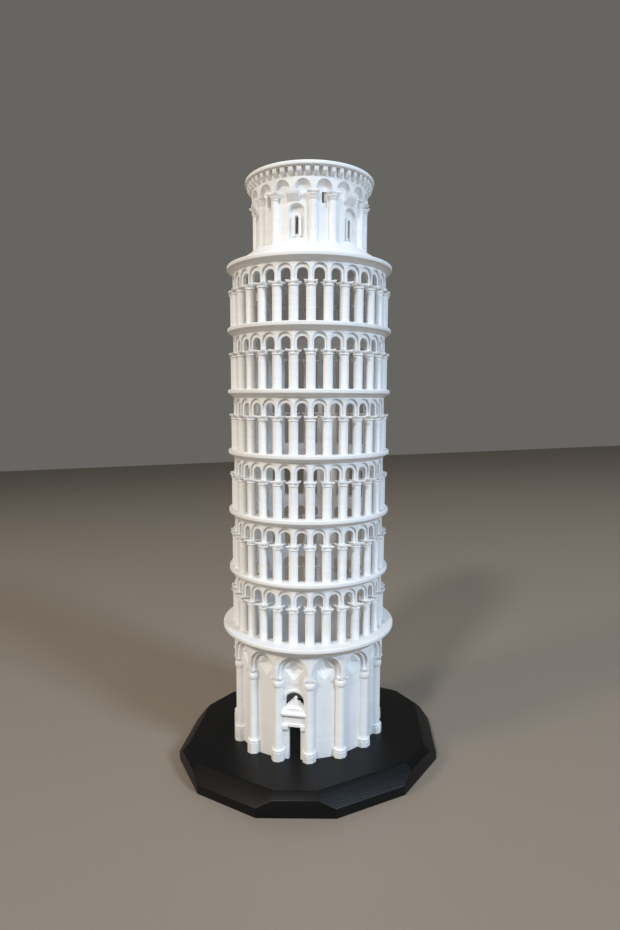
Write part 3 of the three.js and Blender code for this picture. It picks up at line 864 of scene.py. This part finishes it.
pier_corbel = slanted_block(PIER_CORBEL_HALF, PIER_CORBEL_NEAR, [
    (24.42, 230.3), (24.42, 228.85), (24.3, 228.65), (22.75, 226.35), (22.5, 226.05)])
white_piece("pier_corbels", Shape().around(pier_corbel, OVER_NICHES), "belfry_arcade")

band_foot = BELFRY_TOP - 0.1
band = Shape().add(turned(
    [(BELFRY_INNER, band_foot), (BELFRY_FACE, band_foot), (BELFRY_FACE, BAND_TOP),
     (BELFRY_INNER, BAND_TOP)], RING_SIDES, closed=True))
band.around(bracket(**BRACKET), evenly(BRACKET_BEARING, BRACKETS))
white_piece("bracket_band", band, "corbel_ring")

rim = [(BELFRY_INNER, RIM["foot"]), (26.6, RIM["foot"])] + lip(**RIM)
rim += [(BELFRY_INNER + 0.4, 240.0), (BELFRY_INNER, 239.7)]
white_piece("top_rim", Shape().add(turned(rim, RING_SIDES, closed=True)), "belfry_rim")

deck = [(0.02, 236.2), (19.9, 236.2), (20.3, 236.4), (20.3, 237.5), (19.2, 237.75), (18.6, 237.6),
        (4, 237.8), (0.02, 237.82)]
white_piece("roof_slab", Shape().add(turned(deck, DECK_SIDES)), "roof_deck")

# ---- floor, lights and camera -----------------------------------------------------------------

FLOOR_COLOUR = (0.3, 0.255, 0.21, 1)
FLOOR_ROUGHNESS = 0.55
WORLD_COLOUR = (0.135, 0.13, 0.12, 1)

bpy.ops.mesh.primitive_plane_add(size=8, location=(0, 0, 0))
floor_plane = bpy.context.object
floor_plane.name = "floor"
floor_material = bpy.data.materials.new("floor")
floor_material.use_nodes = True
floor_shader = floor_material.node_tree.nodes["Principled BSDF"]
floor_shader.inputs["Base Color"].default_value = FLOOR_COLOUR
floor_shader.inputs["Roughness"].default_value = FLOOR_ROUGHNESS
floor_plane.data.materials.append(floor_material)


def area_light(name, place, target, size, power, colour):
    data = bpy.data.lights.new(name, "AREA")
    data.shape = "DISK"
    data.size = size
    data.energy = power
    data.color = colour
    light = bpy.data.objects.new(name, data)
    light.location = place
    light.rotation_mode = "QUATERNION"
    light.rotation_quaternion = (Vector(target) - Vector(place)).to_track_quat("-Z", "Y")
    bpy.context.scene.collection.objects.link(light)


area_light("key", (-0.6, -1.7, 1.5), (0, 0, 0.12), 0.3, 21.5, (1.0, 0.975, 0.94))
area_light("left", (-1.3, -0.9, 1.0), (0, 0, 0.1), 0.4, 10, (1.0, 0.84, 0.66))
area_light("right", (1.3, -1.1, 1.0), (0, 0, 0.1), 0.4, 26, (0.62, 0.79, 1.0))
area_light("top", (0.1, 0.1, 1.9), (0, 0, 0.1), 0.4, 3, (1.0, 0.95, 0.86))

world = bpy.data.worlds.new("studio")
world.use_nodes = True
world.node_tree.nodes["Background"].inputs["Color"].default_value = WORLD_COLOUR
world.node_tree.nodes["Background"].inputs["Strength"].default_value = 1
bpy.context.scene.world = world
bpy.context.scene.view_settings.view_transform = "Standard"

CAMERA_PLACE = Vector((29.55, -273.42, 141.5))      # in millimetres, in the CAD's frame
CAMERA_LOOK = Vector((-0.0842, 0.9955, -0.0437))
CAMERA_UP = Vector((0.0408, 0.0473, 0.998))
FOCAL_PIXELS = 600
LONG_SIDE_PIXELS = 930

camera_data = bpy.data.cameras.new("camera")
camera_data.lens = camera_data.sensor_width * FOCAL_PIXELS / LONG_SIDE_PIXELS
camera_data.clip_start = 0.01
camera = bpy.data.objects.new("camera", camera_data)
back = -CAMERA_LOOK.normalized()
right = CAMERA_UP.cross(back).normalized()
up = back.cross(right)
turn = Matrix((right, up, back)).transposed().to_4x4()
camera.matrix_world = Matrix.Translation(CAMERA_PLACE * MM) @ turn
bpy.context.scene.collection.objects.link(camera)
bpy.context.scene.camera = camera
